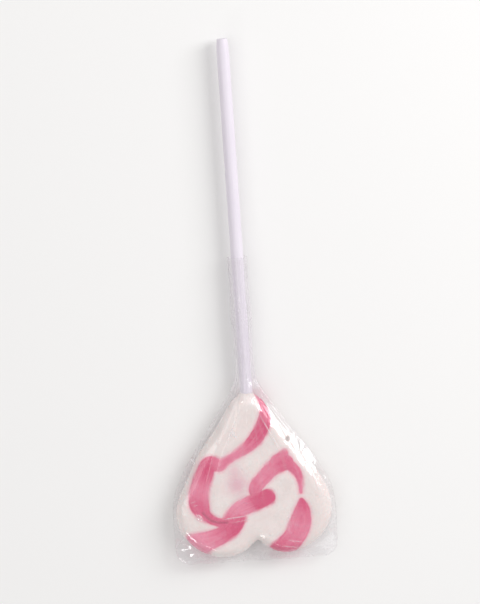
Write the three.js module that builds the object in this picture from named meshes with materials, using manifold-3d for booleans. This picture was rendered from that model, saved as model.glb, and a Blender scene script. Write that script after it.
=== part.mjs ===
// A heart-shaped swirl lollipop in its clear film wrapper, in millimetres.
// It lies on its back with the shown face up (+Z) and the stick along +Y.
// Plan positions are written in the head's own frame, whose origin lies midway
// between the centres of the two lobes. The last lines move the whole part so
// that the middle of its footprint is at the origin and it rests on z = 0.
import * as THREE from 'three';
import { mergeVertices } from 'three/addons/utils/BufferGeometryUtils.js';
import ManifoldModule from 'manifold-3d';

const manifold = await ManifoldModule();
manifold.setup();
const { CrossSection, Manifold } = manifold;

// ---------------------------------------------------------------- dimensions

const fit = 0.3; // clear gap between pieces that touch

const head = {
  thickness: 6.6,
  straightRim: 0.2, // height of the straight stretch between the two quarter rounds
  centre: new THREE.Vector2(0, 5), // the point that the outline winds round
  leftLobe: { x: -9.6, y: -0.3, radius: 12.6 },
  rightLobe: { x: 9.5, y: 0, radius: 12.4 },
  notchFillet: 1.2,
  tip: { y: 27.5, radius: 6 },
  outlineSteps: 96,
  rimSteps: 4,
};

// Hand-pressed sugar: places where the outline swells (+) or is flattened (-),
// as the direction from the head's centre and the spread, both in degrees.
const unevenness = [
  { name: 'lower left flat', towards: 221, spread: 15, swell: -0.5 },
  { name: 'lower right flat', towards: 313, spread: 16, swell: -0.25 },
  { name: 'notch', towards: 271.5, spread: 5, swell: -0.9 },
  { name: "right lobe's bottom", towards: 292, spread: 12, swell: 0.4 },
  { name: 'right shoulder', towards: 14, spread: 16, swell: 0.8 },
  { name: 'right side', towards: 55, spread: 22, swell: 0.35 },
  { name: 'left side', towards: 142, spread: 26, swell: 1.1 },
];

// Each band of pink sugar is a ribbon through stations [x, y, half width].
const bands = {
  leftArc: [
    [6.8, 31, 2.3], [4, 24.9, 1.9], [1.8, 21.4, 1.9], [-1.5, 18.5, 1.4], [-5.2, 16.4, 1.05],
    [-7.5, 15.1, 1.2], [-9.1, 14.4, 1.7], [-11.8, 14.95, 2.15], [-13.5, 11.8, 2.5],
    [-15.2, 7.3, 2.7], [-15.4, 3.2, 2.7], [-13.6, -0.1, 1.5], [-9.8, -2.2, 1.2], [-6.2, -2.3, 1.9],
  ],
  middleBar: [
    [-7.4, -1.7, 1.7], [-4.6, 1, 2.1], [-1.7, 2.3, 2.3], [1.2, 3.3, 2.3], [3.9, 4.3, 2.2],
  ],
  lowerLeft: [
    [-4.8, -1.1, 2.3], [-6.6, -3.8, 2.4], [-9.2, -5.6, 2.3], [-13, -7, 2.6], [-17.8, -8.1, 3.1],
    [-23.5, -9.2, 3.6],
  ],
  upperHook: [
    [1, 4.2, 1.5], [0.8, 7.2, 1.8], [3.3, 10, 1.9], [6.1, 12.6, 2.1], [9.2, 14, 2.35],
    [10.6, 13.2, 1.5], [12.3, 11.5, 1.3], [13.2, 9.6, 0.95], [13.5, 7.2, 0.6], [13.5, 5, 0.35],
  ],
  hookPoint: [
    [7.3, 14.6, 1.6], [9.5, 16.5, 1.05],
  ],
  rightArc: [
    [13.5, 2.7, 0.6], [13.6, 0.6, 1.75], [13.2, -2, 2.6], [12.5, -4.4, 3], [11.2, -7.1, 2.9],
    [8.9, -9.7, 3], [5.2, -13.2, 3.4],
  ],
};
const swirl = {
  samples: 4, // ribbon discs from one station to the next
  discSides: 12,
  tolerance: 0.03, // how far a band's outline may be straightened
  twist: 13, // degrees that the bands turn from the shown face to the back
  twistSteps: 3,
};

const stick = { radius: 1.75, length: 125, embedded: 24, edge: 0.25, sides: 28 };

const film = {
  wall: 0.3,
  sides: 28,
  stretches: 3, // sections between two stations
  // [y, half width, width of the rounded edge, half thickness]: flat fold past
  // the lobes, pillow over the head, neck at the tip, gathered tail.
  stations: [
    [-14.4, 19.0, 8.0, 0.45], [-13.7, 21.4, 12.0, 1.9], [-12.0, 22.7, 13.0, 3.1],
    [-9.6, 23.1, 11.0, 3.9], [-3.0, 23.2, 5.6, 3.9], [3.0, 23.0, 4.8, 3.9],
    [9.0, 21.3, 4.8, 3.9], [15.0, 17.9, 4.8, 3.9], [21.0, 14.0, 4.8, 3.9],
    [26.5, 10.0, 5.6, 3.9], [31.0, 6.8, 6.4, 3.9], [35.0, 4.2, 4.2, 3.4],
    [39.0, 2.75, 2.75, 2.75], [46.0, 2.6, 2.6, 2.55], [55.0, 2.95, 2.95, 2.75],
    [64.0, 2.7, 2.7, 2.6], [73.0, 2.9, 2.9, 2.7],
  ],
};

const tipTop = head.tip.y + head.tip.radius;
const stickStart = tipTop - stick.embedded;
const midHeight = head.thickness / 2 + fit + film.wall; // from the film's back to the stick's axis

const sugar = { roughness: 0.22, metalness: 0 };
const materials = {
  white: new THREE.MeshStandardMaterial({ name: 'white_sugar', color: '#ded6d2', ...sugar }),
  pink: new THREE.MeshStandardMaterial({ name: 'pink_sugar', color: '#d96f92', ...sugar }),
  stick: new THREE.MeshStandardMaterial({ name: 'stick', color: '#e0dae4', roughness: 0.45, metalness: 0 }),
  film: new THREE.MeshStandardMaterial({
    name: 'clear_film', color: '#f4f2f4', roughness: 0.08, metalness: 0, transparent: true, opacity: 0.25,
  }),
};

// ------------------------------------------------------------ solids and cuts

function solidFrom(geometry) {
  geometry.deleteAttribute('normal');
  geometry.deleteAttribute('uv');
  const closed = mergeVertices(geometry, 1e-4);
  return new Manifold(new manifold.Mesh({
    numProp: 3,
    vertProperties: Float32Array.from(closed.attributes.position.array),
    triVerts: Uint32Array.from(closed.index.array),
  }));
}

function geometryFrom(solid) {
  const { vertProperties, triVerts } = solid.getMesh();
  const geometry = new THREE.BufferGeometry();
  geometry.setAttribute('position', new THREE.BufferAttribute(vertProperties, 3));
  geometry.setIndex(new THREE.BufferAttribute(triVerts, 1));
  geometry.computeVertexNormals();
  return geometry;
}

function named(name, geometry, material) {
  const mesh = new THREE.Mesh(geometry, material);
  mesh.name = name;
  return mesh;
}

// ----------------------------------------------------------------- candy head

// Two lobe arcs, a filleted notch between them, straight sides and a tip arc,
// walked anticlockwise from the notch.
function plainOutline() {
  const { leftLobe, rightLobe, notchFillet, tip } = head;
  const sideTurn = (lobe) => {
    const apart = Math.hypot(lobe.x, tip.y - lobe.y);
    return Math.atan2(Math.abs(lobe.x), tip.y - lobe.y) + Math.asin((lobe.radius - tip.radius) / apart);
  };
  const notchTurn = (lobe) => Math.asin((Math.abs(lobe.x) - notchFillet) / lobe.radius);
  const rightSide = sideTurn(rightLobe);
  const leftSide = Math.PI - sideTurn(leftLobe);
  const rightNotch = -0.5 * Math.PI - notchTurn(rightLobe);
  const leftNotch = 1.5 * Math.PI + notchTurn(leftLobe);
  const outline = new THREE.Path();
  outline.absarc(rightLobe.x, rightLobe.y, rightLobe.radius, rightNotch, rightSide);
  outline.absarc(0, tip.y, tip.radius, rightSide, leftSide);
  outline.absarc(leftLobe.x, leftLobe.y, leftLobe.radius, leftSide, leftNotch);
  const start = outline.getPoint(0);
  const end = outline.getPoint(1);
  outline.quadraticCurveTo(0, Math.max(start.y, end.y) + notchFillet, start.x, start.y);
  return outline.getSpacedPoints(head.outlineSteps).slice(0, -1);
}

function swellTowards(angle) {
  return unevenness.reduce((sum, { towards, spread, swell }) => {
    const away = THREE.MathUtils.euclideanModulo(angle - towards + 180, 360) - 180;
    return sum + swell * Math.exp(-((away / spread) ** 2));
  }, 0);
}

function headOutline() {
  return plainOutline().map((point) => {
    const spoke = point.clone().sub(head.centre);
    const swell = swellTowards(THREE.MathUtils.radToDeg(spoke.angle()));
    return head.centre.clone().add(spoke.setLength(spoke.length() + swell));
  });
}

// The pressed heart: flat faces and a half-round rim.
function headSolid() {
  const { thickness, straightRim, rimSteps } = head;
  const round = (thickness - straightRim) / 2;
  const geometry = new THREE.ExtrudeGeometry(new THREE.Shape(headOutline()), {
    depth: straightRim,
    bevelThickness: round,
    bevelSize: round,
    bevelOffset: -round,
    bevelSegments: rimSteps,
  });
  geometry.translate(0, 0, -straightRim / 2);
  return solidFrom(geometry);
}

// The hole that the stick sits in, open at the heart's tip.
function stickBore() {
  const bottom = stickStart - fit;
  const top = tipTop + 1;
  const radius = stick.radius + fit;
  const geometry = new THREE.CylinderGeometry(radius, radius, top - bottom, stick.sides);
  geometry.translate(0, (bottom + top) / 2, 0);
  return solidFrom(geometry);
}

// ---------------------------------------------------------------- sugar bands

function disc([x, y, radius]) {
  return CrossSection.circle(radius, swirl.discSides).translate([x, y]);
}

// A ribbon is the run of discs along a smooth curve through its stations.
function ribbon(stations) {
  const curve = new THREE.CatmullRomCurve3(stations.map((station) => new THREE.Vector3(...station)));
  const discs = curve.getPoints((stations.length - 1) * swirl.samples).map((point) => disc(point.toArray()));
  const links = discs.slice(1).map((next, i) => CrossSection.hull([discs[i], next]));
  return CrossSection.union(links);
}

// Carries a plan shape through the head, turning it about the head's centre
// from the shown face down to the back.
function throughHead(section) {
  const { thickness, centre } = head;
  const depth = thickness + 1;
  const parts = section.toPolygons().map((points) => {
    const shape = new THREE.Shape(points.map(([x, y]) => new THREE.Vector2(x, y)));
    const drop = { depth, steps: swirl.twistSteps, bevelEnabled: false };
    const geometry = new THREE.ExtrudeGeometry(shape, drop);
    geometry.translate(0, 0, -depth / 2);
    const position = geometry.attributes.position;
    for (let i = 0; i < position.count; i += 1) {
      const fall = (thickness / 2 - position.getZ(i)) / thickness;
      const point = new THREE.Vector2(position.getX(i), position.getY(i));
      point.rotateAround(centre, THREE.MathUtils.degToRad(swirl.twist * fall));
      position.setXY(i, point.x, point.y);
    }
    return solidFrom(geometry);
  });
  return Manifold.union(parts);
}

// The pink swirl, the pink band on its own at the right, and the white sugar
// that is left on either side of them, largest first.
function candySolids() {
  const { rightArc, ...joinedBands } = bands;
  const joined = CrossSection.union(Object.values(joinedBands).map(ribbon));
  const pinkPlan = joined.simplify(swirl.tolerance);
  const sidePlan = ribbon(rightArc).simplify(swirl.tolerance);
  const roomPlan = CrossSection.union([pinkPlan, sidePlan]).offset(fit, 'Round').simplify(swirl.tolerance);
  const bored = headSolid().subtract(stickBore());
  const white = bored.subtract(throughHead(roomPlan)).decompose();
  white.sort((a, b) => b.volume() - a.volume());
  return {
    pinkSwirl: bored.intersect(throughHead(pinkPlan)),
    pinkSide: bored.intersect(throughHead(sidePlan)),
    whiteInner: white[0],
    whiteOuter: white[1],
  };
}

// ---------------------------------------------------------------------- stick

function stickGeometry() {
  const { radius, length, edge, sides } = stick;
  const profile = [
    [0, 0], [radius - edge, 0], [radius, edge], [radius, length - edge], [radius - edge, length], [0, length],
  ];
  const geometry = new THREE.LatheGeometry(profile.map(([r, y]) => new THREE.Vector2(r, y)), sides);
  geometry.translate(0, stickStart, 0);
  return geometry;
}

// --------------------------------------------------------------- film wrapper

// The bag's form at its outer face, or at its inner face with the wall's
// thickness as `inset`: a drum whose sections follow the stations, flat above
// and below with rounded edges. The inner form runs `past` the tail's end,
// where the real film is open round the stick.
function bagForm(inset, past) {
  const { stations, sides, stretches } = film;
  const track = (column) => new THREE.SplineCurve(
    stations.map((station) => new THREE.Vector2(station[0], station[column])),
  );
  const [widths, edges, heights] = [track(1), track(2), track(3)];
  const fold = stations[0][0];
  const halfSide = Math.PI / sides; // turns the drum so that it has a side, not an edge, underneath
  const reach = Math.cos(halfSide);
  const lengths = (stations.length - 1) * stretches;
  const geometry = new THREE.CylinderGeometry(1, 1, 1, sides, lengths, false, halfSide);
  const position = geometry.attributes.position;
  for (let i = 0; i < position.count; i += 1) {
    const across = position.getX(i) / reach;
    const up = position.getZ(i) / reach;
    const along = THREE.MathUtils.clamp(position.getY(i) + 0.5, 0, 1);
    const edge = edges.getPoint(along).y - inset;
    const flat = widths.getPoint(along).y - inset - edge;
    const height = Math.min(heights.getPoint(along).y, midHeight) - inset;
    const y = Math.max(heights.getPoint(along).x, fold + inset) + (along === 1 ? past : 0);
    position.setXYZ(i, Math.sign(across) * flat + across * edge, y, up * height);
  }
  return solidFrom(geometry);
}

// ------------------------------------------------------------------- assembly

const candy = candySolids();
const wrapper = bagForm(0, 0).subtract(bagForm(film.wall, 1));

const lollipop = new THREE.Group();
lollipop.add(named('candy_white_inner', geometryFrom(candy.whiteInner), materials.white));
lollipop.add(named('candy_white_outer', geometryFrom(candy.whiteOuter), materials.white));
lollipop.add(named('candy_pink_swirl', geometryFrom(candy.pinkSwirl), materials.pink));
lollipop.add(named('candy_pink_side', geometryFrom(candy.pinkSide), materials.pink));
lollipop.add(named('stick', stickGeometry(), materials.stick));
lollipop.add(named('film_wrapper', geometryFrom(wrapper), materials.film));

// The middle of the footprint goes to the origin, and the back to the floor.
const extent = new THREE.Box3().setFromObject(lollipop);
const middle = extent.getCenter(new THREE.Vector3());
lollipop.position.set(-middle.x, -middle.y, -extent.min.z);

export default lollipop;
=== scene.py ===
"""A heart-shaped swirl lollipop in its clear film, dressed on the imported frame."""

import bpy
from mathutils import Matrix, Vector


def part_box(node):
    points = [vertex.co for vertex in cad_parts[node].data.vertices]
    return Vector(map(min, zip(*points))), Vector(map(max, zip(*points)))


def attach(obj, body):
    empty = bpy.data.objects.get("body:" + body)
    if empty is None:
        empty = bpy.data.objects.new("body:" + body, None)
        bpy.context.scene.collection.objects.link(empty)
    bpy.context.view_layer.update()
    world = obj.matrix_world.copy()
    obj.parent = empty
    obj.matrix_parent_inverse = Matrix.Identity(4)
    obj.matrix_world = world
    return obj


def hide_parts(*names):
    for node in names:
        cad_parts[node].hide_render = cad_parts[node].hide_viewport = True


bl_info = {
    "name": "Swirl Lollipop",
    "version": (1, 0, 0),
    "blender": (4, 5, 0),
    "location": "3D View > Sidebar > Lollipop",
    "description": "Builds a heart-shaped swirl lollipop with its stick and film wrapper",
    "category": "Object",
}

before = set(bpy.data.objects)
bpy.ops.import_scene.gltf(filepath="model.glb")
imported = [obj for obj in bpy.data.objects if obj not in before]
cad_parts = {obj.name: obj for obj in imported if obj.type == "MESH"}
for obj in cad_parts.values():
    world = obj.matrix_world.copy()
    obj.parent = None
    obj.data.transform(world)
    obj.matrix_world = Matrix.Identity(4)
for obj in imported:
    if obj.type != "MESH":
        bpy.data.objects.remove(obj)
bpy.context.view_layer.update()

import math

import bpy
import numpy as np
from bpy.props import FloatProperty, FloatVectorProperty, IntProperty, PointerProperty
from mathutils import Matrix, Vector

MM = 0.001
BODY = "root"
SUGAR_NODES = ("candy_white_inner", "candy_white_outer", "candy_pink_swirl", "candy_pink_side")

# ------------------------------ the head's frame
# Plan places on the head are millimetres from the point midway between the
# centres of its two lobes, +y towards the tip, and heights are from the stick's
# axis. The stick's node says where that point lies in the frame.

TIP_TOP = 33.5
STICK_INSIDE = 24.0  # of the stick's length, up to TIP_TOP
STICK_LOW, STICK_HIGH = (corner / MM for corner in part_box("stick"))
SUGAR_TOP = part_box("candy_white_inner")[1].z / MM
HEAD_Y = STICK_LOW.y + STICK_INSIDE - TIP_TOP
AXIS_Z = (STICK_LOW.z + STICK_HIGH.z) / 2
STICK_RADIUS = (STICK_HIGH.x - STICK_LOW.x) / 2
HALF_THICKNESS = SUGAR_TOP - AXIS_Z

# Outline of the heart: two lobes, a filleted notch, straight sides, a tip arc.
# Each circle is x, y, radius.
HEAD_CENTRE = (0.0, 5.0)
LEFT_LOBE = (-9.6, -0.3, 12.6)
RIGHT_LOBE = (9.5, 0.0, 12.4)
NOTCH_FILLET = 1.2
TIP = (0.0, 27.5, 6.0)
RIM_RADIUS = 3.2
LOBE_POINTS, TIP_POINTS, OUTLINE_POINTS = 300, 120, 1200

# Where hand pressing left the outline fuller (+) or flatter (-): direction
# from the head's centre and spread in degrees, swell in millimetres.
UNEVENNESS = (
    ("lower left flat", 221, 15, -0.5),
    ("lower right flat", 313, 16, -0.25),
    ("notch", 271.5, 5, -0.9),
    ("right lobe's bottom", 292, 12, 0.4),
    ("right shoulder", 14, 16, 0.8),
    ("right side", 55, 22, 0.35),
    ("left side", 142, 26, 1.1),
)

# Pink bands: stations of x, y, half width and depth of the pink, which is light
# at LIGHT_AT and deep at DEEP_AT.
LIGHT_AT, DEEP_AT = 0.30, 0.95
BANDS = {
    "left arc": (
        (6.8, 31, 2.3, 0.9), (4, 24.9, 1.9, 0.92), (1.8, 21.4, 1.9, 0.88), (-1.5, 18.5, 1.4, 0.6),
        (-5.2, 16.4, 1.05, 0.5), (-7.5, 15.1, 1.2, 0.6), (-9.1, 14.4, 1.7, 0.5), (-11.8, 14.95, 2.15, 0.9),
        (-13.5, 11.8, 2.5, 0.85), (-15.2, 7.3, 2.7, 0.5), (-15.4, 3.2, 2.7, 0.75),
        (-13.6, -0.1, 1.5, 0.85), (-9.8, -2.2, 1.2, 0.8), (-6.2, -2.3, 1.9, 0.75),
    ),
    "middle bar": (
        (-7.4, -1.7, 1.7, 0.7), (-4.6, 1, 2.1, 0.4), (-1.7, 2.3, 2.3, 0.5), (1.2, 3.3, 2.3, 1.15),
        (3.9, 4.3, 2.2, 1.35),
    ),
    "lower left": (
        (-4.8, -1.1, 2.3, 0.75), (-6.6, -3.8, 2.4, 0.95), (-9.2, -5.6, 2.3, 0.8), (-13, -7, 2.6, 0.45),
        (-17.8, -8.1, 3.1, 0.3), (-23.5, -9.2, 3.6, 0.3),
    ),
    "upper hook": (
        (1, 4.2, 1.5, 0.8), (0.8, 7.2, 1.8, 0.6), (3.3, 10, 1.9, 0.55), (6.1, 12.6, 2.1, 0.6),
        (9.2, 14, 2.35, 0.8), (10.6, 13.2, 1.5, 0.8), (12.3, 11.5, 1.3, 0.65), (13.2, 9.6, 0.95, 0.65),
        (13.5, 7.2, 0.6, 0.55), (13.5, 5, 0.35, 0.6),
    ),
    "hook point": (
        (7.3, 14.6, 1.6, 0.6), (9.5, 16.5, 1.05, 0.7),
    ),
    "right arc": (
        (13.5, 2.7, 0.6, 0.9), (13.6, 0.6, 1.75, 0.85), (13.2, -2, 2.6, 0.65), (12.5, -4.4, 3, 0.52),
        (11.2, -7.1, 2.9, 0.58), (8.9, -9.7, 3, 0.75), (5.2, -13.2, 3.4, 1),
    ),
}
SWIRL_TWIST = 13.0  # degrees that the bands turn from the shown face to the back
BAND_MERGE = 0.35  # width over which the depths of bands that meet run together
BLUSH = (  # pink that ran into the white: x, y, radius, strength
    (-4.0, 8.2, 2.6, 1.1), (-4.8, 11.6, 2.2, 0.55), (-5.2, 14.0, 1.8, 0.15), (-3.2, 5.0, 1.8, 0.3),
    (-7.5, 7.5, 2.5, 0.12),
)
PIT_STEEPNESS = 1.5
PITS = (  # burst air bubbles: x, y, radius, depth
    (10.8, 20.5, 0.60, 0.34), (-9.4, 20.3, 0.35, 0.10), (3.9, -6.8, 0.32, 0.10), (-2.9, 12.6, 0.30, 0.08),
    (17.6, 3.9, 0.34, 0.10), (-13.9, -5.0, 0.30, 0.08), (7.9, 8.6, 0.28, 0.07), (-19.3, 1.2, 0.36, 0.10),
)

# Where a fold of sugar was pressed in: its points, depth and width.
SUGAR_FOLDS = (
    (((-14.6, 0.9), (-13.6, -0.4), (-12.4, -1.5), (-10.4, -2.2), (-8.0, -2.3)), 0.20, 0.42),
    (((-15.2, 11.9), (-14.3, 13.9), (-13.2, 15.3)), 0.07, 0.30),
    (((-6.6, -2.9), (-4.7, -3.4), (-2.9, -2.6)), 0.09, 0.32),
)


def placed(points):
    """Points of the head's frame, in millimetres, as metres in the row frame."""
    return (np.asarray(points, float) + (0.0, HEAD_Y, AXIS_Z)) * MM


# -------------------------------- node shorthand


class Nodes:
    """Adds nodes to one tree and joins their sockets."""

    def __init__(self, tree):
        self.tree = tree

    def add(self, kind, values=None, **settings):
        node = self.tree.nodes.new(kind)
        for name, value in settings.items():
            setattr(node, name, value)
        for name, value in (values or {}).items():
            self.feed(node.inputs[name], value)
        return node

    def feed(self, socket, value):
        """Joins a socket, or a node's first output, to the socket, or sets the socket's own value."""
        if isinstance(value, bpy.types.Node):
            value = value.outputs[0]
        if isinstance(value, bpy.types.NodeSocket):
            self.tree.links.new(value, socket)
        else:
            socket.default_value = (*value, 1.0) if socket.type == "RGBA" else value

    def feed_all(self, node, values):
        for socket, value in zip(node.inputs, values):
            self.feed(socket, value)
        return node

    def math(self, operation, *values, clamp=False):
        node = self.add("ShaderNodeMath", operation=operation, use_clamp=clamp)
        return self.feed_all(node, values).outputs[0]

    def plus(self, a, b):
        return self.math("ADD", a, b)

    def minus(self, a, b, clamp=False):
        return self.math("SUBTRACT", a, b, clamp=clamp)

    def times(self, a, b):
        return self.math("MULTIPLY", a, b)

    def line(self, value, slope, start, clamp=False):
        """The value times a slope, from a start."""
        return self.math("MULTIPLY_ADD", value, slope, start, clamp=clamp)

    def sway(self, noise, reach, start, clamp=False):
        """The start, moved by how far a noise is from its middle."""
        return self.line(self.minus(noise, 0.5), reach, start, clamp)

    def vector(self, operation, a, b):
        return self.feed_all(self.add("ShaderNodeVectorMath", operation=operation), (a, b)).outputs[0]

    def scaled(self, vector, factor):
        node = self.add("ShaderNodeVectorMath", {"Scale": factor}, operation="SCALE")
        return self.feed_all(node, (vector,)).outputs[0]

    def xyz(self, x, y, z):
        return self.add("ShaderNodeCombineXYZ", {"X": x, "Y": y, "Z": z}).outputs[0]

    def ramp(self, value, low, high, start=0.0, end=1.0):
        sockets = {"Value": value, "From Min": low, "From Max": high, "To Min": start, "To Max": end}
        return self.add("ShaderNodeMapRange", sockets, interpolation_type="SMOOTHSTEP").outputs["Result"]

    def blend(self, factor, *colours):
        node = self.add("ShaderNodeMix", {"Factor": factor}, data_type="RGBA")
        for socket, colour in zip([socket for socket in node.inputs if socket.type == "RGBA"], colours):
            self.feed(socket, colour)
        return next(socket for socket in node.outputs if socket.type == "RGBA")

    def noise(self, vector, scale, detail=2.0, roughness=0.5, output=0):
        values = {"Vector": vector, "Scale": scale, "Detail": detail, "Roughness": roughness}
        return self.add("ShaderNodeTexNoise", values).outputs[output]

    def place(self):
        return self.add("ShaderNodeTexCoord").outputs["Object"]

    def attribute(self, name):
        return self.add("ShaderNodeAttribute", attribute_name=name).outputs["Fac"]

    def mixed(self, factor, first, second):
        return self.feed_all(self.add("ShaderNodeMixShader"), (factor, first, second))

    def finish_material(self, shader):
        self.add("ShaderNodeOutputMaterial", {"Surface": shader})

    def finish_mesh(self, geometry, material):
        real = self.add("GeometryNodeRealizeInstances", {"Geometry": geometry})
        coloured = self.add("GeometryNodeSetMaterial", {"Geometry": real, "Material": material})
        self.add("NodeGroupOutput", {"Geometry": coloured})


def new_material(name):
    material = bpy.data.materials.new(name)
    material.use_nodes = True
    material.node_tree.nodes.clear()
    return material, Nodes(material.node_tree)


def new_tree(name, kind, inputs, outputs):
    """A node tree with named sockets, and the outputs of its input node.

    A socket's kind follows from its default, or from its name where it has none.
    """
    tree = bpy.data.node_groups.new(name, kind)
    kinds = {float: "Float", int: "Int", tuple: "Vector"}
    for side, sockets in (("INPUT", inputs), ("OUTPUT", outputs)):
        for label, default in sockets.items():
            socket_type = "NodeSocket" + kinds.get(type(default), label)
            socket = tree.interface.new_socket(name=label, in_out=side, socket_type=socket_type)
            if default is not None:
                socket.default_value = default
    build = Nodes(tree)
    return tree, build, build.add("NodeGroupInput").outputs


def hand_touched():
    """Shader group: how gloss and surface height vary over a smooth hard thing.

    Size is the width of its unevenness in metres.
    """
    if "Hand Touched" in bpy.data.node_groups:
        return bpy.data.node_groups["Hand Touched"]
    tree, build, given = new_tree(
        "Hand Touched", "ShaderNodeTree",
        {"Size": 0.002, "Smoothest": 0.2, "Roughest": 0.35, "Relief": 0.00002, "Stretch": (1.0, 1.0, 1.0)},
        {"Roughness": 0.0, "Normal": (0.0, 0.0, 0.0)},
    )
    drawn_out = build.vector("MULTIPLY", build.place(), given["Stretch"])
    scale = build.math("DIVIDE", 1.0, given["Size"])
    smears = build.noise(drawn_out, build.times(scale, 0.4), 3.0, 0.6)
    grain = build.noise(drawn_out, scale, 4.0, 0.6)
    span = build.minus(given["Roughest"], given["Smoothest"])
    roughness = build.line(build.ramp(smears, 0.35, 0.65), span, given["Smoothest"])
    bump = build.add("ShaderNodeBump", {"Strength": 1.0, "Distance": given["Relief"], "Height": grain})
    build.add("NodeGroupOutput", {"Roughness": roughness, "Normal": bump})
    return tree


def touched(build, size, smoothest, roughest, relief, stretch=(1.0, 1.0, 1.0)):
    """The group's Roughness and Normal in a material, with the material's own values."""
    labels = ("Size", "Smoothest", "Roughest", "Relief", "Stretch")
    values = dict(zip(labels, (size, smoothest, roughest, relief, stretch)))
    return build.add("ShaderNodeGroup", values, node_tree=hand_touched()).outputs


# ---------------------------- property shorthand


def swatch(name, description, default):
    return FloatVectorProperty(
        name=name, description=description, default=default, subtype="COLOR", size=3, min=0, max=1,
    )


def fraction(name, description, default):
    return FloatProperty(name=name, description=description, default=default, min=0, max=1, subtype="FACTOR")


def measure(name, description, default, most, least=0, precision=5):
    return FloatProperty(
        name=name, description=description, default=default, min=least, max=most,
        unit="LENGTH", precision=precision,
    )


def lean(name, description, degrees):
    return FloatProperty(name=name, description=description, default=math.radians(degrees), subtype="ANGLE")


# ------------------------------- piece shorthand


def new_piece(name, points, faces, material, attributes=None):
    """A smooth shaded object at the origin, with its place and its point values in its mesh."""
    mesh = bpy.data.meshes.new(name)
    mesh.from_pydata([tuple(point) for point in points], [], faces)
    mesh.update()
    for label, values in (attributes or {}).items():
        layer = mesh.attributes.new(label, "FLOAT", "POINT")
        layer.data.foreach_set("value", np.asarray(values, np.float32))
    mesh.shade_smooth()
    mesh.materials.append(material)
    piece = bpy.data.objects.new(name, mesh)
    bpy.context.scene.collection.objects.link(piece)
    return piece


def run_tree(piece, tree, values):
    """Runs a geometry tree on the piece, its inputs set by identifier, and keeps the plain mesh."""
    modifier = piece.modifiers.new(tree.name, "NODES")
    modifier.node_group = tree
    sockets = {item.name: item.identifier for item in tree.interface.items_tree if item.in_out == "INPUT"}
    for name, value in values.items():
        modifier[sockets[name]] = value
    graph = bpy.context.evaluated_depsgraph_get()
    whole = piece.evaluated_get(graph)
    result = bpy.data.meshes.new_from_object(whole, preserve_all_data_layers=True, depsgraph=graph)
    piece.modifiers.clear()
    plan, piece.data = piece.data, result
    bpy.data.meshes.remove(plan)
    result.name = piece.name
    result.shade_smooth()


# ----------------------------------- sugar heart


def arc(circle, start, end, steps):
    x, y, radius = circle
    turn = np.linspace(start, end, steps, endpoint=False)
    return np.stack([x + radius * np.cos(turn), y + radius * np.sin(turn)], 1)


def smooth_loop(points, passes):
    for _ in range(passes):
        points = 0.5 * points + 0.25 * (np.roll(points, 1, 0) + np.roll(points, -1, 0))
    return points


def even_loop(points, count):
    """The same closed line with its points at even distances."""
    closed = np.vstack([points, points[:1]])
    run = np.concatenate([[0.0], np.cumsum(np.hypot(*np.diff(closed, axis=0).T))])
    at = np.linspace(0.0, run[-1], count, endpoint=False)
    return np.stack([np.interp(at, run, closed[:, i]) for i in range(2)], 1)


def heart_outline(count):
    """The head's outline at mid height, anticlockwise, as evenly spaced points."""
    _, tip_y, tip_radius = TIP

    def side_turn(lobe):
        x, y, radius = lobe
        apart = math.hypot(x, tip_y - y)
        return math.atan2(abs(x), tip_y - y) + math.asin((radius - tip_radius) / apart)

    def notch_turn(lobe):
        x, _, radius = lobe
        return math.asin((abs(x) - NOTCH_FILLET) / radius)

    right, left = side_turn(RIGHT_LOBE), math.pi - side_turn(LEFT_LOBE)
    arcs = np.vstack([
        arc(RIGHT_LOBE, -math.pi / 2 - notch_turn(RIGHT_LOBE), right, LOBE_POINTS),
        arc(TIP, right, left, TIP_POINTS),
        arc(LEFT_LOBE, left, 1.5 * math.pi + notch_turn(LEFT_LOBE), LOBE_POINTS),
    ])
    loop = smooth_loop(even_loop(arcs, OUTLINE_POINTS), 12)
    spokes = loop - HEAD_CENTRE
    lengths = np.hypot(*spokes.T)
    angles = np.degrees(np.arctan2(spokes[:, 1], spokes[:, 0]))
    swell = np.zeros_like(angles)
    for _, towards, spread, amount in UNEVENNESS:
        away = (angles - towards + 180) % 360 - 180
        swell += amount * np.exp(-((away / spread) ** 2))
    return even_loop(HEAD_CENTRE + spokes * ((lengths + swell) / lengths)[:, None], count)


def inward_normals(loop):
    along = np.roll(loop, -1, 0) - np.roll(loop, 1, 0)
    along /= np.hypot(*along.T)[:, None]
    return smooth_loop(np.stack([-along[:, 1], along[:, 0]], 1), 6)


def band_run(stations, step=0.25):
    """Points along the centripetal curve through a band's stations, about a step apart."""
    p = np.array(stations, float)
    p = np.vstack([2 * p[0] - p[1], p, 2 * p[-1] - p[-2]])
    rows = []
    for before, start, end, after in zip(p, p[1:], p[2:], p[3:]):
        gaps = [
            max(np.linalg.norm((b - a)[:3]) ** 0.5, 1e-4)
            for a, b in ((before, start), (start, end), (end, after))
        ]
        leave = (start - before) / gaps[0] - (end - before) / (gaps[0] + gaps[1]) + (end - start) / gaps[1]
        arrive = (end - start) / gaps[1] - (after - start) / (gaps[1] + gaps[2]) + (after - end) / gaps[2]
        leave, arrive = leave * gaps[1], arrive * gaps[1]
        steps = max(2, int(np.hypot(*(end - start)[:2]) / step))
        for t in np.arange(steps) / steps:
            rows.append(
                start + leave * t
                + (3 * (end - start) - 2 * leave - arrive) * t**2
                + (2 * (start - end) + leave + arrive) * t**3
            )
    rows.append(p[-2])
    return np.array(rows)


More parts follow.
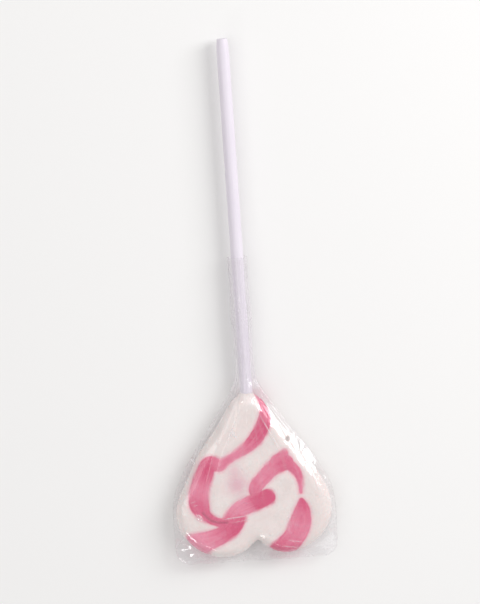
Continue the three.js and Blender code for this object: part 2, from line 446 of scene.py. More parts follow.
def swirl_at(x, y, height, at_once=4000):
    """Signed distance to the nearest pink edge (negative in the pink) and depth of the pink.

    The bands turn about the head's centre from the shown face to the back.
    """
    fall = (HALF_THICKNESS - height) / (2 * HALF_THICKNESS)
    turn = -np.radians(SWIRL_TWIST) * fall
    dx, dy = x - HEAD_CENTRE[0], y - HEAD_CENTRE[1]
    px = HEAD_CENTRE[0] + dx * np.cos(turn) - dy * np.sin(turn)
    py = HEAD_CENTRE[1] + dx * np.sin(turn) + dy * np.cos(turn)
    runs = np.vstack([band_run(stations) for stations in BANDS.values()])
    edge = np.empty_like(px)
    depth = np.empty_like(px)
    for first in range(0, len(px), at_once):
        part = slice(first, first + at_once)
        reach = np.hypot(px[part, None] - runs[:, 0], py[part, None] - runs[:, 1]) - runs[:, 2]
        nearest = reach.min(1)
        weight = np.exp(-(reach - nearest[:, None]) / BAND_MERGE)
        edge[part] = nearest
        depth[part] = (weight * runs[:, 3]).sum(1) / weight.sum(1)
    return edge, depth


def waves(points, length, seed, count=14):
    """Smooth seeded unevenness of about unit height, as wide as the given length."""
    draw = np.random.default_rng(seed)
    total = np.zeros(len(points))
    for _ in range(count):
        direction = draw.normal(size=points.shape[1])
        direction *= 2 * math.pi / (length * draw.uniform(0.8, 1.6) * np.linalg.norm(direction))
        total += np.sin(points @ direction + draw.uniform(0, 2 * math.pi))
    return total / math.sqrt(count)


FACE_RINGS, RIM_STEPS, BACK_RINGS = 56, 16, 40


def heart_surface(around):
    """Rows of points from the middle of the shown face, over the rim, to the middle of the back."""
    outline = heart_outline(around)
    inward = inward_normals(outline)
    inner = outline + inward * RIM_RADIUS
    straight = HALF_THICKNESS - RIM_RADIUS
    rows, normals = [], []

    def face_row(share, side):
        plan = HEAD_CENTRE + (inner - HEAD_CENTRE) * share
        rows.append(np.column_stack([plan, np.full(around, side * HALF_THICKNESS)]))
        normals.append(np.tile((0.0, 0.0, side), (around, 1)))

    for share in np.linspace(0, 1, FACE_RINGS, endpoint=False)[1:]:
        face_row(share, 1.0)
    for turn in np.linspace(0, math.pi, RIM_STEPS + 1):
        plan = outline + inward * (RIM_RADIUS * (1 - math.sin(turn)))
        lift = RIM_RADIUS * math.cos(turn) + straight * np.sign(round(math.cos(turn), 6))
        rows.append(np.column_stack([plan, np.full(around, lift)]))
        out = -inward * math.sin(turn)
        normals.append(np.column_stack([out, np.full(around, math.cos(turn))]))
    for share in np.linspace(1, 0, BACK_RINGS, endpoint=False)[1:]:
        face_row(share, -1.0)
    ends = [np.array([[*HEAD_CENTRE, side * HALF_THICKNESS]]) for side in (1, -1)]
    points = np.vstack([ends[0], *rows, ends[1]])
    directions = np.vstack([[[0.0, 0.0, 1.0]], *normals, [[0.0, 0.0, -1.0]]])
    return points, directions, len(rows)


def heart_faces(around, rows):
    """Quads between the rows, with a fan at each middle, all facing outwards."""
    faces = []
    for row in range(rows - 1):
        first = 1 + row * around
        for i in range(around):
            j = (i + 1) % around
            faces.append((first + i, first + around + i, first + around + j, first + j))
    last = 1 + rows * around
    for i in range(around):
        j = (i + 1) % around
        faces.append((0, 1 + i, 1 + j))
        faces.append((last, last - around + j, last - around + i))
    return faces


def off_line(x, y, ends):
    """Distance in plan from the nearest point of a straight line, and how far along it that point is."""
    (x0, y0), (x1, y1) = ends
    dx, dy = x1 - x0, y1 - y0
    way = np.clip(((x - x0) * dx + (y - y0) * dy) / (dx**2 + dy**2), 0, 1)
    return np.hypot(x - x0 - way * dx, y - y0 - way * dy), way


def round_spots(x, y, spots, steepness=1.0):
    """Sum over the plan of spots of x, y, radius and strength."""
    return sum(
        strength * np.exp(-(((x - at_x) ** 2 + (y - at_y) ** 2) / radius**2) ** steepness)
        for at_x, at_y, radius, strength in spots
    )


def sugar_marks(x, y):
    """Depth in millimetres of the burst bubbles and pressed folds over the plan."""
    depth = round_spots(x, y, PITS, PIT_STEEPNESS)
    for line, deep, width in SUGAR_FOLDS:
        off = np.min([off_line(x, y, ends)[0] for ends in zip(line, line[1:])], axis=0)
        depth = np.maximum(depth, deep * np.exp(-((off / width) ** 2)))
    return depth


GROOVE_WIDTH, STRAND_WIDTH = 0.3, 1.6
COLLAR_HEIGHT, COLLAR_WIDTH = 0.9, 0.7


def sugar_relief(points, edge, settings):
    """Height that pulling, twisting and pressing left on the sugar, in millimetres."""
    groove, crown, swell = (
        value / MM for value in (settings.groove_depth, settings.strand_crown, settings.unevenness)
    )
    uneven = 0.6 + 0.4 * waves(points, 7.0, seed=3)
    crease = -groove * np.clip(uneven, 0.15, 1.4) * np.exp(-((edge / GROOVE_WIDTH) ** 2))
    strand = crown * (1 - np.exp(-((edge / STRAND_WIDTH) ** 2)))
    sag = swell * waves(points, 11.0, seed=5)
    dimples = 0.25 * swell * waves(points, 3.2, seed=8)
    pulled = 0.005 * np.sin(edge * 6.0 + 3.0 * waves(points, 5.0, seed=13)) * (edge > 0.4)
    return crease + strand + sag + dimples + pulled - crown


def stick_collar(points, directions):
    """How far the sugar climbs the stick where it leaves the tip."""
    off_stick = np.clip(np.hypot(points[:, 0], points[:, 2]) - STICK_RADIUS, 0, None)
    near_tip = np.clip((points[:, 1] - TIP_TOP + 3.0) / 2.0, 0, 1) * (directions[:, 1] > 0.2)
    return COLLAR_HEIGHT * near_tip * np.exp(-off_stick / COLLAR_WIDTH)


# Painted shade: dark colours that stand in for the shadow down in burst bubbles and pressed folds.
PIT_SHADE = (0.27, 0.20, 0.19)  # down in a burst bubble of the white sugar
FOLD_SHADE = (0.42, 0.05, 0.13)  # down in a fold of the pink


def sugar_material(settings):
    material, build = new_material("pulled_sugar")
    edge, depth, blush, mark = map(build.attribute, ("band_edge", "pink_depth", "blush", "mark"))
    place = build.place()
    # The edge of the pink wanders, is feathered in places and stains the white beside it.
    ragged = build.sway(build.noise(place, 900.0, 3.0), 0.35, edge)
    feather = build.ramp(build.noise(place, 330.0, 1.0), 0.48, 0.70)
    in_pink = build.ramp(ragged, build.line(feather, 0.5, 0.36), build.line(feather, -0.5, -0.14))
    halo = build.times(build.ramp(edge, 1.3, 0.0), 0.42)
    # Pulled strands: fine streaks that run beside the bands' edges.
    apart = build.add("ShaderNodeSeparateXYZ", {"Vector": place}).outputs
    across = build.xyz(build.times(apart[0], 60.0), build.times(apart[1], 60.0), build.times(edge, 1.6))
    strands = build.noise(across, 1.0, 5.0, 0.65)
    clouds = build.noise(place, 260.0, 3.0, 0.55)
    deepness = build.math("DIVIDE", build.minus(depth, LIGHT_AT), DEEP_AT - LIGHT_AT)
    deepness = build.sway(clouds, 0.6, build.sway(strands, 1.1, deepness), clamp=True)
    pink = build.blend(deepness, settings.light_pink, settings.deep_pink)
    clean = build.ramp(build.sway(strands, 0.7, clouds), 0.25, 0.8)
    white = build.blend(clean, settings.white_shade, settings.white_sugar)
    white = build.blend(halo, white, settings.light_pink)
    white = build.blend(build.times(blush, clouds), white, settings.blush)
    colour = build.blend(in_pink, white, pink)
    # Painted shade: bubbles and folds are darkened by their depth, in place of the shadow that falls in them.
    shade = build.blend(in_pink, PIT_SHADE, FOLD_SHADE)
    colour = build.blend(build.ramp(mark, 0.03, 0.20, 0.0, 0.60), colour, shade)
    skin = touched(build, size=0.0011, smoothest=0.22, roughest=0.36, relief=0.000012)
    build.finish_material(build.add("ShaderNodeBsdfPrincipled", {
        "Base Color": colour, "Roughness": skin["Roughness"], "Normal": skin["Normal"], "IOR": 1.5,
        "Subsurface Weight": 0.35, "Subsurface Radius": (1.0, 0.65, 0.6), "Subsurface Scale": 0.0011,
        "Coat Weight": 0.35, "Coat Roughness": 0.12,
    }))
    return material


class LollipopHeart(bpy.types.PropertyGroup):
    white_sugar: swatch("White Sugar", "Colour of the white sugar where it is clean", (0.89, 0.81, 0.785))
    white_shade: swatch("White Streaks", "Colour of the white sugar's darker streaks", (0.84, 0.755, 0.73))
    light_pink: swatch("Light Pink", "Pink sugar where white is pulled into it", (0.86, 0.31, 0.44))
    deep_pink: swatch("Deep Pink", "Pink sugar at its strongest", (0.705, 0.058, 0.19))
    blush: swatch("Blush", "Cloud of pink under the white sugar", (0.75, 0.31, 0.435))
    groove_depth: measure("Groove Depth", "Depth of the creases where two colours meet", 0.00012, 0.001)
    strand_crown: measure("Strand Crown", "How far each strand bulges between its creases", 0.0001, 0.001)
    unevenness: measure("Unevenness", "Height of the soft waves in the pressed faces", 0.00005, 0.001)
    around: IntProperty(
        name="Points Around", description="Points along the heart's outline", default=440, min=64, max=800,
    )


class LOLLIPOP_OT_heart(bpy.types.Operator):
    """Press the sugar heart with its pink swirl"""

    bl_idname = "lollipop.make_heart"
    bl_label = "Sugar Heart"

    def execute(self, context):
        settings = context.scene.lollipop_heart
        points, directions, rows = heart_surface(settings.around)
        x, y, height = points.T
        edge, depth = swirl_at(x, y, height)
        shown = height > 0
        blush, marks = round_spots(x, y, BLUSH) * shown, sugar_marks(x, y) * shown
        lift = sugar_relief(points, edge, settings) + stick_collar(points, directions) - marks
        piece = new_piece(
            "sugar_heart", placed(points + directions * lift[:, None]), heart_faces(settings.around, rows),
            sugar_material(settings), {"band_edge": edge, "pink_depth": depth, "blush": blush, "mark": marks},
        )
        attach(piece, BODY)
        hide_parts(*SUGAR_NODES)
        return {"FINISHED"}


# ----------------------------------------- stick


def stick_tree():
    """Geometry nodes: a round bar along a line, its ends rounded over."""
    tree, build, given = new_tree(
        "Rounded Stick", "GeometryNodeTree",
        {
            "Geometry": None, "Start": (0.0, 0.0, 0.0), "End": (0.0, 0.125, 0.0), "Length": 0.125,
            "Radius": 0.00175, "End Rounding": 0.0003, "Bow": 0.00005, "Rings": 180, "Sides": 56,
            "Material": None,
        },
        {"Geometry": None},
    )
    line = build.add("GeometryNodeCurvePrimitiveLine", {"Start": given["Start"], "End": given["End"]})
    rings = build.add("GeometryNodeResampleCurve", {"Curve": line, "Count": given["Rings"]})
    share_of_way = build.add("GeometryNodeSplineParameter").outputs["Factor"]
    # Rings crowd towards both ends, where the rounding needs them.
    eased = build.line(build.math("COSINE", build.times(share_of_way, math.pi)), -0.5, 0.5)
    way = build.vector("SUBTRACT", given["End"], given["Start"])
    sideways = build.times(build.math("SINE", build.times(eased, math.pi)), given["Bow"])
    place = build.vector("ADD", given["Start"], build.scaled(way, eased))
    place = build.vector("ADD", place, build.xyz(sideways, 0.0, 0.0))
    spread = build.add("GeometryNodeSetPosition", {"Geometry": rings, "Position": place})
    to_end = build.times(build.math("PINGPONG", eased, 0.5), given["Length"])
    inside = build.minus(1.0, build.math("DIVIDE", to_end, given["End Rounding"]), clamp=True)
    fall = build.minus(1.0, build.math("SQRT", build.minus(1.0, build.math("POWER", inside, 2.0))))
    radius = build.minus(given["Radius"], build.times(fall, given["End Rounding"]))
    profile = build.add("GeometryNodeCurvePrimitiveCircle", {"Resolution": given["Sides"], "Radius": 1.0})
    bar = {"Curve": spread, "Profile Curve": profile, "Scale": radius, "Fill Caps": True}
    build.finish_mesh(build.add("GeometryNodeCurveToMesh", bar), given["Material"])
    return tree


def stick_material(settings):
    material, build = new_material("stick_plastic")
    place = build.place()
    lines = build.noise(build.vector("MULTIPLY", place, (1.0, 0.03, 1.0)), 4500.0, 4.0, 0.6)
    streaks = build.sway(build.noise(place, 90.0), 0.35, lines)
    colour = build.blend(build.ramp(streaks, 0.25, 0.7), settings.shade, settings.colour)
    along_it = (1.0, 0.06, 1.0)
    skin = touched(build, size=0.0005, smoothest=0.32, roughest=0.5, relief=0.000006, stretch=along_it)
    build.finish_material(build.add("ShaderNodeBsdfPrincipled", {
        "Base Color": colour, "Roughness": skin["Roughness"], "Normal": skin["Normal"], "IOR": 1.49,
        "Subsurface Weight": 0.15, "Subsurface Radius": (1.0, 0.9, 1.0), "Subsurface Scale": 0.0008,
    }))
    return material


class LollipopStick(bpy.types.PropertyGroup):
    colour: swatch("Colour", "Colour of the stick's plastic", (0.78, 0.73, 0.80))
    shade: swatch("Streaks", "Colour of the faint streaks along the stick", (0.745, 0.695, 0.775))
    end_rounding: measure("End Rounding", "Radius of the rounding at the stick's ends", 0.0003, 0.001, 0.0001)
    bow: measure("Bow", "How far the stick bows sideways at its middle", 0.00005, 0.001)


class LOLLIPOP_OT_stick(bpy.types.Operator):
    """Draw the stick along its axis"""

    bl_idname = "lollipop.make_stick"
    bl_label = "Stick"

    def execute(self, context):
        settings = context.scene.lollipop_stick
        start, end = (Vector((0.0, y, AXIS_Z)) * MM for y in (STICK_LOW.y, STICK_HIGH.y))
        material = stick_material(settings)
        piece = new_piece("stick_bar", [(0, 0, 0)], [], material)
        run_tree(piece, stick_tree(), {
            "Start": start, "End": end, "Length": (end - start).length, "Radius": STICK_RADIUS * MM,
            "End Rounding": settings.end_rounding, "Bow": settings.bow, "Material": material,
        })
        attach(piece, BODY)
        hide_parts("stick")
        return {"FINISHED"}


# ---------------------------------- film wrapper
# Millimetres in the head's frame.

SIDE_INSET = 0.22  # of the film's edge from the wrapper's own
SIDE_HEIGHT = 0.12  # of the film at its held edge, above mid height
SUGAR_GAPS = (0.16, 0.34)  # between the sugar and the film, in front and behind
STICK_GAP = 0.3
NECK_START, NECK_LENGTH = 30.0, 9.0  # where the film goes from flat to gathered
CLOSE_ROWS_END, ROW_STEP, TAIL_ROWS = 37.0, 0.215, 84
FRONT_FACES, BACK_FACES = 192, 64  # in each row
GRID_END, GRID_ACROSS, GRID_ALONG = 42.0, 120, 145  # of the film as it is stretched
RELAXING_PASSES = 900
EVEN_STEP, EVEN_REACH = 0.2, 13  # steps over which the width is evened out


def film_sections():
    """Half width of the wrapper at each of its sections, read from its node."""
    co = np.array([v.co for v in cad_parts["film_wrapper"].data.vertices]) / MM
    ys = np.round(co[:, 1], 2)
    levels = np.unique(ys)
    widths = np.array([np.abs(co[ys == level, 0]).max() for level in levels])
    keep = np.ones(len(levels), bool)
    keep[1:-1] = widths[1:-1] > np.minimum(widths[:-2], widths[2:]) - 0.25
    return levels[keep] - HEAD_Y, widths[keep]


def sugar_height(x, y):
    """Height of the heart's upper surface over the plan, and zero beside it."""
    outline = heart_outline(400)
    ox, oy = (outline - HEAD_CENTRE).T
    dx, dy = x - HEAD_CENTRE[0], y - HEAD_CENTRE[1]
    reach = np.interp(np.arctan2(dy, dx), np.arctan2(oy, ox), np.hypot(ox, oy), period=2 * math.pi)
    to_edge = np.full(x.shape, RIM_RADIUS)
    for px, py in outline:
        np.minimum(to_edge, np.hypot(x - px, y - py), out=to_edge)
    height = np.sqrt(RIM_RADIUS**2 - (RIM_RADIUS - to_edge) ** 2) + HALF_THICKNESS - RIM_RADIUS
    return np.where(np.hypot(dx, dy) < reach, height, 0.0)


def stretched_film(xs, ys, widths, clearance):
    """Height of a film pulled tight over the sugar and the stick, above mid height.

    The film is a membrane held at its outline, relaxed until it hangs straight
    between what it touches.
    """
    x, y = np.meshgrid(xs, ys)
    held = np.abs(x) >= np.interp(y, ys, widths)
    stick = np.sqrt(np.clip((STICK_RADIUS + STICK_GAP) ** 2 - x**2, 0, None)) * (y > TIP_TOP - 4)
    floor = np.maximum(sugar_height(x, y) + clearance, stick)
    floor[held] = floor[0] = SIDE_HEIGHT
    held[0], held[-1] = True, False
    height = floor.copy()
    for _ in range(RELAXING_PASSES):
        mean = height.copy()
        beside = height[1:-1, :-2] + height[1:-1, 2:]
        mean[1:-1, 1:-1] = 0.25 * (height[:-2, 1:-1] + height[2:, 1:-1] + beside)
        mean[-1] = mean[-2]
        height = np.where(held, floor, np.maximum(floor, mean))
    return height


# Creases pressed into the film over the head: x, y at both ends, height, width.
FILM_CREASES = (
    (-10.6, -1.4, -1.0, -0.5, 0.16, 0.30), (-6.9, -2.5, -0.9, -1.6, 0.12, 0.26),
    (-18.3, 4.0, -15.9, 4.6, 0.12, 0.25), (-18.0, 3.0, -14.7, 3.5, 0.10, 0.25),
    (8.6, -8.4, 13.4, -9.3, 0.14, 0.28), (6.4, -9.9, 12.2, -10.9, 0.12, 0.28),
    (-5.3, 24.0, -3.4, 22.0, 0.22, 0.8), (-16.2, 0.5, -14.9, -1.0, 0.34, 0.76),
    (9.5, -1.7, 9.9, -1.9, 0.20, 0.45), (-17.4, 16.6, -15.8, 15.0, 0.20, 0.5),
    (2.6, 29.5, 9.5, 15.5, 0.14, 0.30), (-2.4, 29.5, -8.0, 17.0, 0.12, 0.28),
    (16.5, 12.5, 19.5, 3.5, 0.13, 0.32), (13.5, 17.5, 16.0, 10.5, 0.16, 0.40),
)


def creased(x, y):
    """Height of the pressed creases over the plan."""
    lift = np.zeros_like(x)
    for x0, y0, x1, y1, height, width in FILM_CREASES:
        off, way = off_line(x, y, ((x0, y0), (x1, y1)))
        ends = np.clip(1.3 - 2 * np.abs(way - 0.5), 0, 1)
        lift = np.maximum(lift, height * ends * np.clip(1 - off / width, 0, 1))
    return lift


def film_sheet():
    """Points, faces and surface coordinates of the film before it is gathered.

    `around` is the angle about the stick, 0 at the right edge, `along` the
    distance up the head's frame, `outward` 0 in the middle and 1 at the edge and
    `fold` the height of the pressed creases.
    """
    levels, widths = film_sections()
    over_head = np.arange(levels[0] + SIDE_INSET, CLOSE_ROWS_END, ROW_STEP)
    ys = np.concatenate([over_head, np.linspace(over_head[-1] + 0.3, levels[-1], TAIL_ROWS)])
    even = np.arange(levels[0], levels[-1] + EVEN_STEP, EVEN_STEP)
    half = np.pad(np.interp(even, levels, widths) - SIDE_INSET, EVEN_REACH // 2, mode="edge")
    half = np.interp(ys, even, np.convolve(half, np.ones(EVEN_REACH) / EVEN_REACH, "valid"))
    fine_x = np.linspace(-half.max() - 0.4, half.max() + 0.4, GRID_ACROSS)
    fine_y = np.linspace(ys[0], GRID_END, GRID_ALONG)
    front, back = (stretched_film(fine_x, fine_y, np.interp(fine_y, ys, half), gap) for gap in SUGAR_GAPS)
    neck = np.clip((ys - NECK_START) / NECK_LENGTH, 0, 1)
    neck = neck * neck * (3 - 2 * neck)
    half -= 0.15 * neck

    def side(y, width, tail, grid, steps):
        """A row over one side: evenly spread where it is flat, and round where it is gathered."""
        turns = np.linspace(-1, 1, steps + 1)
        flat = 0.35 * (1 - tail)
        share = (1 - flat) * np.sin(turns * math.pi / 2) + flat * turns
        x = width * share
        row = np.clip((y - fine_y[0]) / (fine_y[1] - fine_y[0]), 0, len(fine_y) - 1.001)
        low = int(row)
        line = grid[low] * (1 - row + low) + grid[low + 1] * (row - low)
        rounded = width * np.sqrt(np.clip(1 - share**2, 0, None))
        return turns, x, np.interp(x, fine_x, line) * (1 - tail) + rounded * tail

    rows, turns, folds = [], [], []
    for y, width, tail in zip(ys, half, neck):
        turn, x, height = side(y, width, tail, front, FRONT_FACES)
        fold = creased(x, y) * (1 - tail)
        height += fold - round_spots(x, y, PITS[:1], PIT_STEEPNESS)
        height[0] = height[-1] = 0.0
        back_turn, back_x, back_height = side(y, width, tail, back, BACK_FACES)
        rows.append(np.column_stack([x, np.full_like(x, y), height])[::-1])
        rows.append(np.column_stack([back_x, np.full_like(back_x, y), -back_height])[1:-1])
        folds += [fold[::-1], np.zeros(BACK_FACES - 1)]
        turns += [math.pi / 2 * (1 - turn[::-1]), math.pi / 2 * (3 + back_turn[1:-1])]
    ring = FRONT_FACES + BACK_FACES
    points = np.vstack(rows)
    faces = []
    for row in range(len(ys) - 1):
        for i in range(ring):
            j = (i + 1) % ring
            a, b = row * ring, (row + 1) * ring
            faces.append((a + i, b + i, b + j, a + j))
    # The fold past the lobes joins the sheets: each face of the back takes a share of the front's.
    step = FRONT_FACES // BACK_FACES
    for i in range(BACK_FACES):
        fan = [FRONT_FACES - i * step - k for k in range(step + 1)]
        left, right = (FRONT_FACES + i) % ring, (FRONT_FACES + i + 1) % ring
        faces.append(tuple(dict.fromkeys((*reversed(fan), left, right))))
    outward = np.abs(points[:, 0]) / np.repeat(half, ring)
    turns, folds = np.concatenate(turns), np.concatenate(folds)
    return points, faces, {"around": turns, "along": points[:, 1], "outward": outward, "fold": folds}


def gathering_tree():
    """Geometry nodes: pleats, crimp ridges and crinkles of film gathered round a stick.

    Depths and the crinkles' size are metres, and places along the film and the
    crimp's spacing are millimetres up the head's frame.
    """
    tree, build, given = new_tree(
        "Gathered Film", "GeometryNodeTree",
        {
            "Geometry": None, "Pleat Depth": 0.0005, "Pleats": 2.0, "Neck": 36.0, "Pleat Fade": 22.0,
            "Crimp Start": 52.0, "Crimp End": 58.0, "Crimp Spacing": 1.1, "Crimp Depth": 0.00012,
            "Crinkle Size": 0.0042, "Crinkle Depth": 0.00012, "Seed": 3.0, "Material": None,
        },
        {"Geometry": None},
    )

    def stored(name):
        node = build.add("GeometryNodeInputNamedAttribute", {"Name": name}, data_type="FLOAT")
        return node.outputs["Attribute"]

    turn, way, outward = map(stored, ("around", "along", "outward"))
    place = build.add("GeometryNodeInputPosition").outputs[0]

    def fold_lines(count, sharpness, shift):
        """Ridges that run up the tail and fan out from the neck, 1 along each."""
        ring = build.xyz(
            build.times(build.math("COSINE", turn), count),
            build.times(build.math("SINE", turn), count),
            build.line(way, 0.018, build.plus(given["Seed"], shift)),
        )
        ridge = build.math("ABSOLUTE", build.minus(build.noise(ring, 1.0, 1.0, 0.4), 0.5))
        return build.minus(1.0, build.times(ridge, sharpness), clamp=True)

    pleat = fold_lines(given["Pleats"], 8.0, 0.0)
    fade_from = build.minus(given["Neck"], given["Pleat Fade"])
    strength = build.math("POWER", build.ramp(way, fade_from, given["Neck"]), 1.4)
    pleating = build.times(build.times(build.minus(pleat, 0.35), strength), given["Pleat Depth"])
    thin = fold_lines(build.times(given["Pleats"], 1.6), 22.0, 7.0)
    reach = build.ramp(way, build.minus(fade_from, 18.0), given["Neck"], 0.25, 1.0)
    thin = build.times(thin, build.times(reach, build.ramp(way, -8.0, 4.0)))
    lines = build.times(thin, build.times(given["Pleat Depth"], 0.22))
    # Crimp ridges cross the middle of the tail.
    wave = build.math("SINE", build.math("DIVIDE", build.times(way, 2 * math.pi), given["Crimp Spacing"]))
    start = build.ramp(way, given["Crimp Start"], build.plus(given["Crimp Start"], 0.6))
    end = build.ramp(way, build.plus(given["Crimp End"], 0.6), given["Crimp End"])
    crimp = build.times(build.times(wave, build.times(start, end)), given["Crimp Depth"])
    # Crinkles: small flat facets that meet in sharp creases, thickest past the sugar.
    bent = build.vector("MULTIPLY", build.noise(place, 120.0, 1.0, output="Color"), (0.005, 0.005, 0.005))
    facets = build.add("ShaderNodeTexVoronoi", feature="DISTANCE_TO_EDGE")
    build.feed(facets.inputs["Vector"], build.vector("ADD", place, bent))
    build.feed(facets.inputs["Scale"], build.math("DIVIDE", 1.0, given["Crinkle Size"]))
    off_crease = facets.outputs["Distance"]
    facet = build.minus(0.45, build.math("MINIMUM", off_crease, 0.45))
    crease = build.ramp(off_crease, 0.07, 0.0)
    patches = build.times(build.ramp(build.noise(place, 85.0, 1.0), 0.46, 0.62), 0.35)
    sides = build.math("MAXIMUM", build.ramp(outward, 0.74, 0.95), build.ramp(way, -8.5, -12.5))
    where = build.times(build.math("MAXIMUM", patches, sides), build.ramp(way, 44.0, 34.0))
    crinkle = build.times(build.times(facet, where), given["Crinkle Depth"])
    lift = build.plus(build.plus(pleating, lines), build.plus(crimp, crinkle))
    offset = build.scaled(build.add("GeometryNodeInputNormal"), lift)
    moved = build.add("GeometryNodeSetPosition", {"Geometry": given["Geometry"], "Offset": offset})
    marks = build.times(build.math("POWER", pleat, 3.0), strength)
    marks = build.math("MAXIMUM", marks, build.times(crease, where))
    marks = build.math("MAXIMUM", marks, build.times(thin, 0.8))
    stored_as = {"Geometry": moved, "Name": "crease", "Value": marks}
    kept = build.add("GeometryNodeStoreNamedAttribute", stored_as, data_type="FLOAT")
    build.finish_mesh(kept, given["Material"])
    return tree


FILM_MIRROR = 0.08  # share of light that both faces of the film turn back, head on


def film_material(settings):
    material, build = new_material("clear_film")
    crease, along, fold = map(build.attribute, ("crease", "along", "fold"))
    skin = touched(build, size=0.004, smoothest=0.03, roughest=0.10, relief=0.00004)
    clear = build.add("ShaderNodeBsdfTransparent", {"Color": settings.tint})
    gloss = {"Color": (1, 1, 1), "Roughness": skin["Roughness"], "Normal": skin["Normal"]}
    shine = build.add("ShaderNodeBsdfGlossy", gloss)
    slant = build.add("ShaderNodeLayerWeight", {"Blend": 0.5, "Normal": skin["Normal"]}).outputs["Facing"]
    mirror = build.line(build.math("POWER", slant, 5.0), 1 - FILM_MIRROR, FILM_MIRROR)
    milk = build.add("ShaderNodeBsdfDiffuse", {"Color": (0.91, 0.89, 0.91)})
    drawn_out = build.vector("MULTIPLY", build.place(), (1.0, 0.12, 1.0))
    streaks = build.ramp(build.noise(drawn_out, 2200.0, 3.0), 0.25, 0.7, 0.5, 1.3)
    haze = build.line(build.ramp(along, 31.0, 40.0), settings.tail_haze, settings.haze)
    haze = build.line(crease, settings.crease_haze, haze)
    # Partly painted highlight: the pressed creases get milkiness that also makes them show as bright lines
    # under any lamp, in place of glints.
    haze = build.line(build.ramp(fold, 0.02, 0.12), settings.fold_haze_and_highlight, haze)
    build.finish_material(build.mixed(build.times(haze, streaks), build.mixed(mirror, clear, shine), milk))
    return material


class LollipopFilm(bpy.types.PropertyGroup):
    tint: swatch("Tint", "What the film lets through", (0.985, 0.98, 0.985))
    haze: fraction("Haze", "Milkiness of the flat film", 0.01)
    tail_haze: fraction("Tail Haze", "Added milkiness of the gathered tail", 0.09)
    crease_haze: fraction("Crease Haze", "Added milkiness along creases", 0.16)
    # Milkiness along the pressed creases, partly a painted highlight that shows them as bright lines under
    # any lamp.
    fold_haze_and_highlight: fraction("Fold Haze", "Added milkiness where the film is folded over the head", 0.34)
    pleat_depth: measure("Pleat Depth", "Height of the pleats at the neck and tail", 0.00055, 0.003)
    crimp_depth: measure("Crimp Depth", "Height of the ridges across the tail", 0.00012, 0.001)
    crinkle_depth: measure("Crinkle Depth", "Height of the creases in the flat film", 0.00055, 0.002)


class LOLLIPOP_OT_film(bpy.types.Operator):
    """Wrap the heart in clear film and gather it round the stick"""

    bl_idname = "lollipop.make_film"
    bl_label = "Film Wrapper"

    def execute(self, context):
        settings = context.scene.lollipop_film
        points, faces, marks = film_sheet()
        material = film_material(settings)
        piece = new_piece("film_sheet", placed(points), faces, material, marks)
        run_tree(piece, gathering_tree(), {
            "Pleat Depth": settings.pleat_depth, "Crimp Depth": settings.crimp_depth,
            "Crinkle Depth": settings.crinkle_depth, "Material": material,
        })
        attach(piece, BODY)
        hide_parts("film_wrapper")
        return {"FINISHED"}


# ----------------------------------------- stage


LAMPS = (  # soft boxes that light the head: name, place, size, watts
    ("key_right", (0.50, 0.27, 0.42), (0.46, 0.30), 2.9),
    ("wide_left", (-0.45, 0.15, 0.85), (0.7, 0.7), 1.4),
    ("low_front", (-0.12, -0.50, 0.66), (0.12, 0.05), 0.08),
    ("low_left", (-0.40, -0.52, 0.42), (0.12, 0.08), 0.25),
)
FLOOR_REACH = 2.0
SENSOR_HEIGHT = 24.0  # of the camera, in millimetres


class LollipopStage(bpy.types.PropertyGroup):
    floor_colour: swatch("Floor", "Colour of the floor", (0.87, 0.865, 0.86))
    room_light: fraction("Room Light", "Strength of the soft light from all sides", 0.60)
    camera_tilt: lean("Camera Tilt", "Lean of the camera from straight above towards the stick's end", 9.0)
    camera_roll: lean("Camera Roll", "How far the stick leans to the left in the picture", 3.9)
    camera_distance: measure("Camera Distance", "From the camera to the lollipop's middle", 1.2, 3, 0.3, 2)
    view_height: measure("View Height", "What the picture's height takes in", 0.170, 1, 0.05, 3)


def aim(thing, target, up=Vector((0, 1, 0))):
    """Turns a lamp or camera towards the target, its top towards `up`."""
    back = (thing.location - target).normalized()
    side = up.cross(back).normalized()
    top = back.cross(side)
    thing.matrix_world = Matrix.Translation(thing.location) @ Matrix((side, top, back)).transposed().to_4x4()


def softbox(name, place, size, watts, target):
    light = bpy.data.lights.new(name, "AREA")
    light.shape = "RECTANGLE"
    light.size, light.size_y = size
    light.energy = watts
    lamp = bpy.data.objects.new(name, light)
    bpy.context.scene.collection.objects.link(lamp)
    lamp.location = place
    aim(lamp, target)


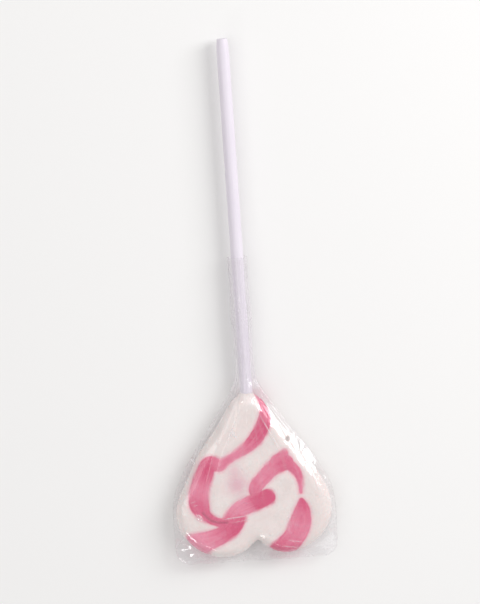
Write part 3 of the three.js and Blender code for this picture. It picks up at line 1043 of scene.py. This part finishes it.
class LOLLIPOP_OT_stage(bpy.types.Operator):
    """Lay out the floor, the lights and the camera"""

    bl_idname = "lollipop.make_stage"
    bl_label = "Stage"

    def execute(self, context):
        settings = context.scene.lollipop_stage
        material, build = new_material("studio_floor")
        skin = touched(build, size=0.05, smoothest=0.55, roughest=0.7, relief=0.0)
        build.finish_material(build.add("ShaderNodeBsdfPrincipled", {
            "Base Color": settings.floor_colour, "Roughness": skin["Roughness"], "Specular IOR Level": 0.2,
        }))
        corners = [(x * FLOOR_REACH, y * FLOOR_REACH, 0) for x, y in ((-1, -1), (1, -1), (1, 1), (-1, 1))]
        floor = new_piece("floor", corners, [(0, 1, 2, 3)], material)

        world = bpy.data.worlds.new("studio")
        context.scene.world = world
        world.use_nodes = True
        room = world.node_tree.nodes["Background"].inputs
        room["Color"].default_value = (1.0, 0.99, 0.985, 1)
        room["Strength"].default_value = settings.room_light
        head = Vector((0, HEAD_Y * MM, AXIS_Z * MM))
        for lamp in LAMPS:
            softbox(*lamp, head)

        data = bpy.data.cameras.new("camera")
        camera = bpy.data.objects.new("camera", data)
        context.scene.collection.objects.link(camera)
        middle = Vector((0, 0, AXIS_Z * MM))
        tilt, roll = settings.camera_tilt, settings.camera_roll
        camera.location = middle + settings.camera_distance * Vector((0, math.sin(tilt), math.cos(tilt)))
        aim(camera, middle, Vector((math.sin(roll), math.cos(roll), 0)))
        data.sensor_fit = "VERTICAL"
        data.sensor_height = SENSOR_HEIGHT
        data.lens = SENSOR_HEIGHT * settings.camera_distance / settings.view_height
        data.clip_start = 0.01
        context.scene.camera = camera
        context.scene.view_settings.view_transform = "Standard"
        return {"FINISHED"}


# ----------------------------------------- panel


class LOLLIPOP_PT_panel(bpy.types.Panel):
    """Lists the lollipop's pieces and their sizes"""

    bl_idname = "LOLLIPOP_PT_panel"
    bl_label = "Swirl Lollipop"
    bl_space_type = "VIEW_3D"
    bl_region_type = "UI"
    bl_category = "Lollipop"

    def draw(self, context):
        for group, (_, operator) in STEPS.items():
            box = self.layout.box()
            box.operator(operator.bl_idname)
            values = getattr(context.scene, group)
            for name in values.bl_rna.properties.keys():
                if name not in ("rna_type", "name"):
                    box.prop(values, name)


STEPS = {
    "lollipop_heart": (LollipopHeart, LOLLIPOP_OT_heart),
    "lollipop_stick": (LollipopStick, LOLLIPOP_OT_stick),
    "lollipop_film": (LollipopFilm, LOLLIPOP_OT_film),
    "lollipop_stage": (LollipopStage, LOLLIPOP_OT_stage),
}
CLASSES = (*(cls for step in STEPS.values() for cls in step), LOLLIPOP_PT_panel)


def register():
    for cls in CLASSES:
        bpy.utils.register_class(cls)
    for group, (settings, _) in STEPS.items():
        setattr(bpy.types.Scene, group, PointerProperty(type=settings))


def unregister():
    for group in STEPS:
        delattr(bpy.types.Scene, group)
    for cls in reversed(CLASSES):
        bpy.utils.unregister_class(cls)


def main():
    register()
    bpy.ops.lollipop.make_heart()
    bpy.ops.lollipop.make_stick()
    bpy.ops.lollipop.make_film()
    bpy.ops.lollipop.make_stage()


if __name__ == "__main__":
    main()
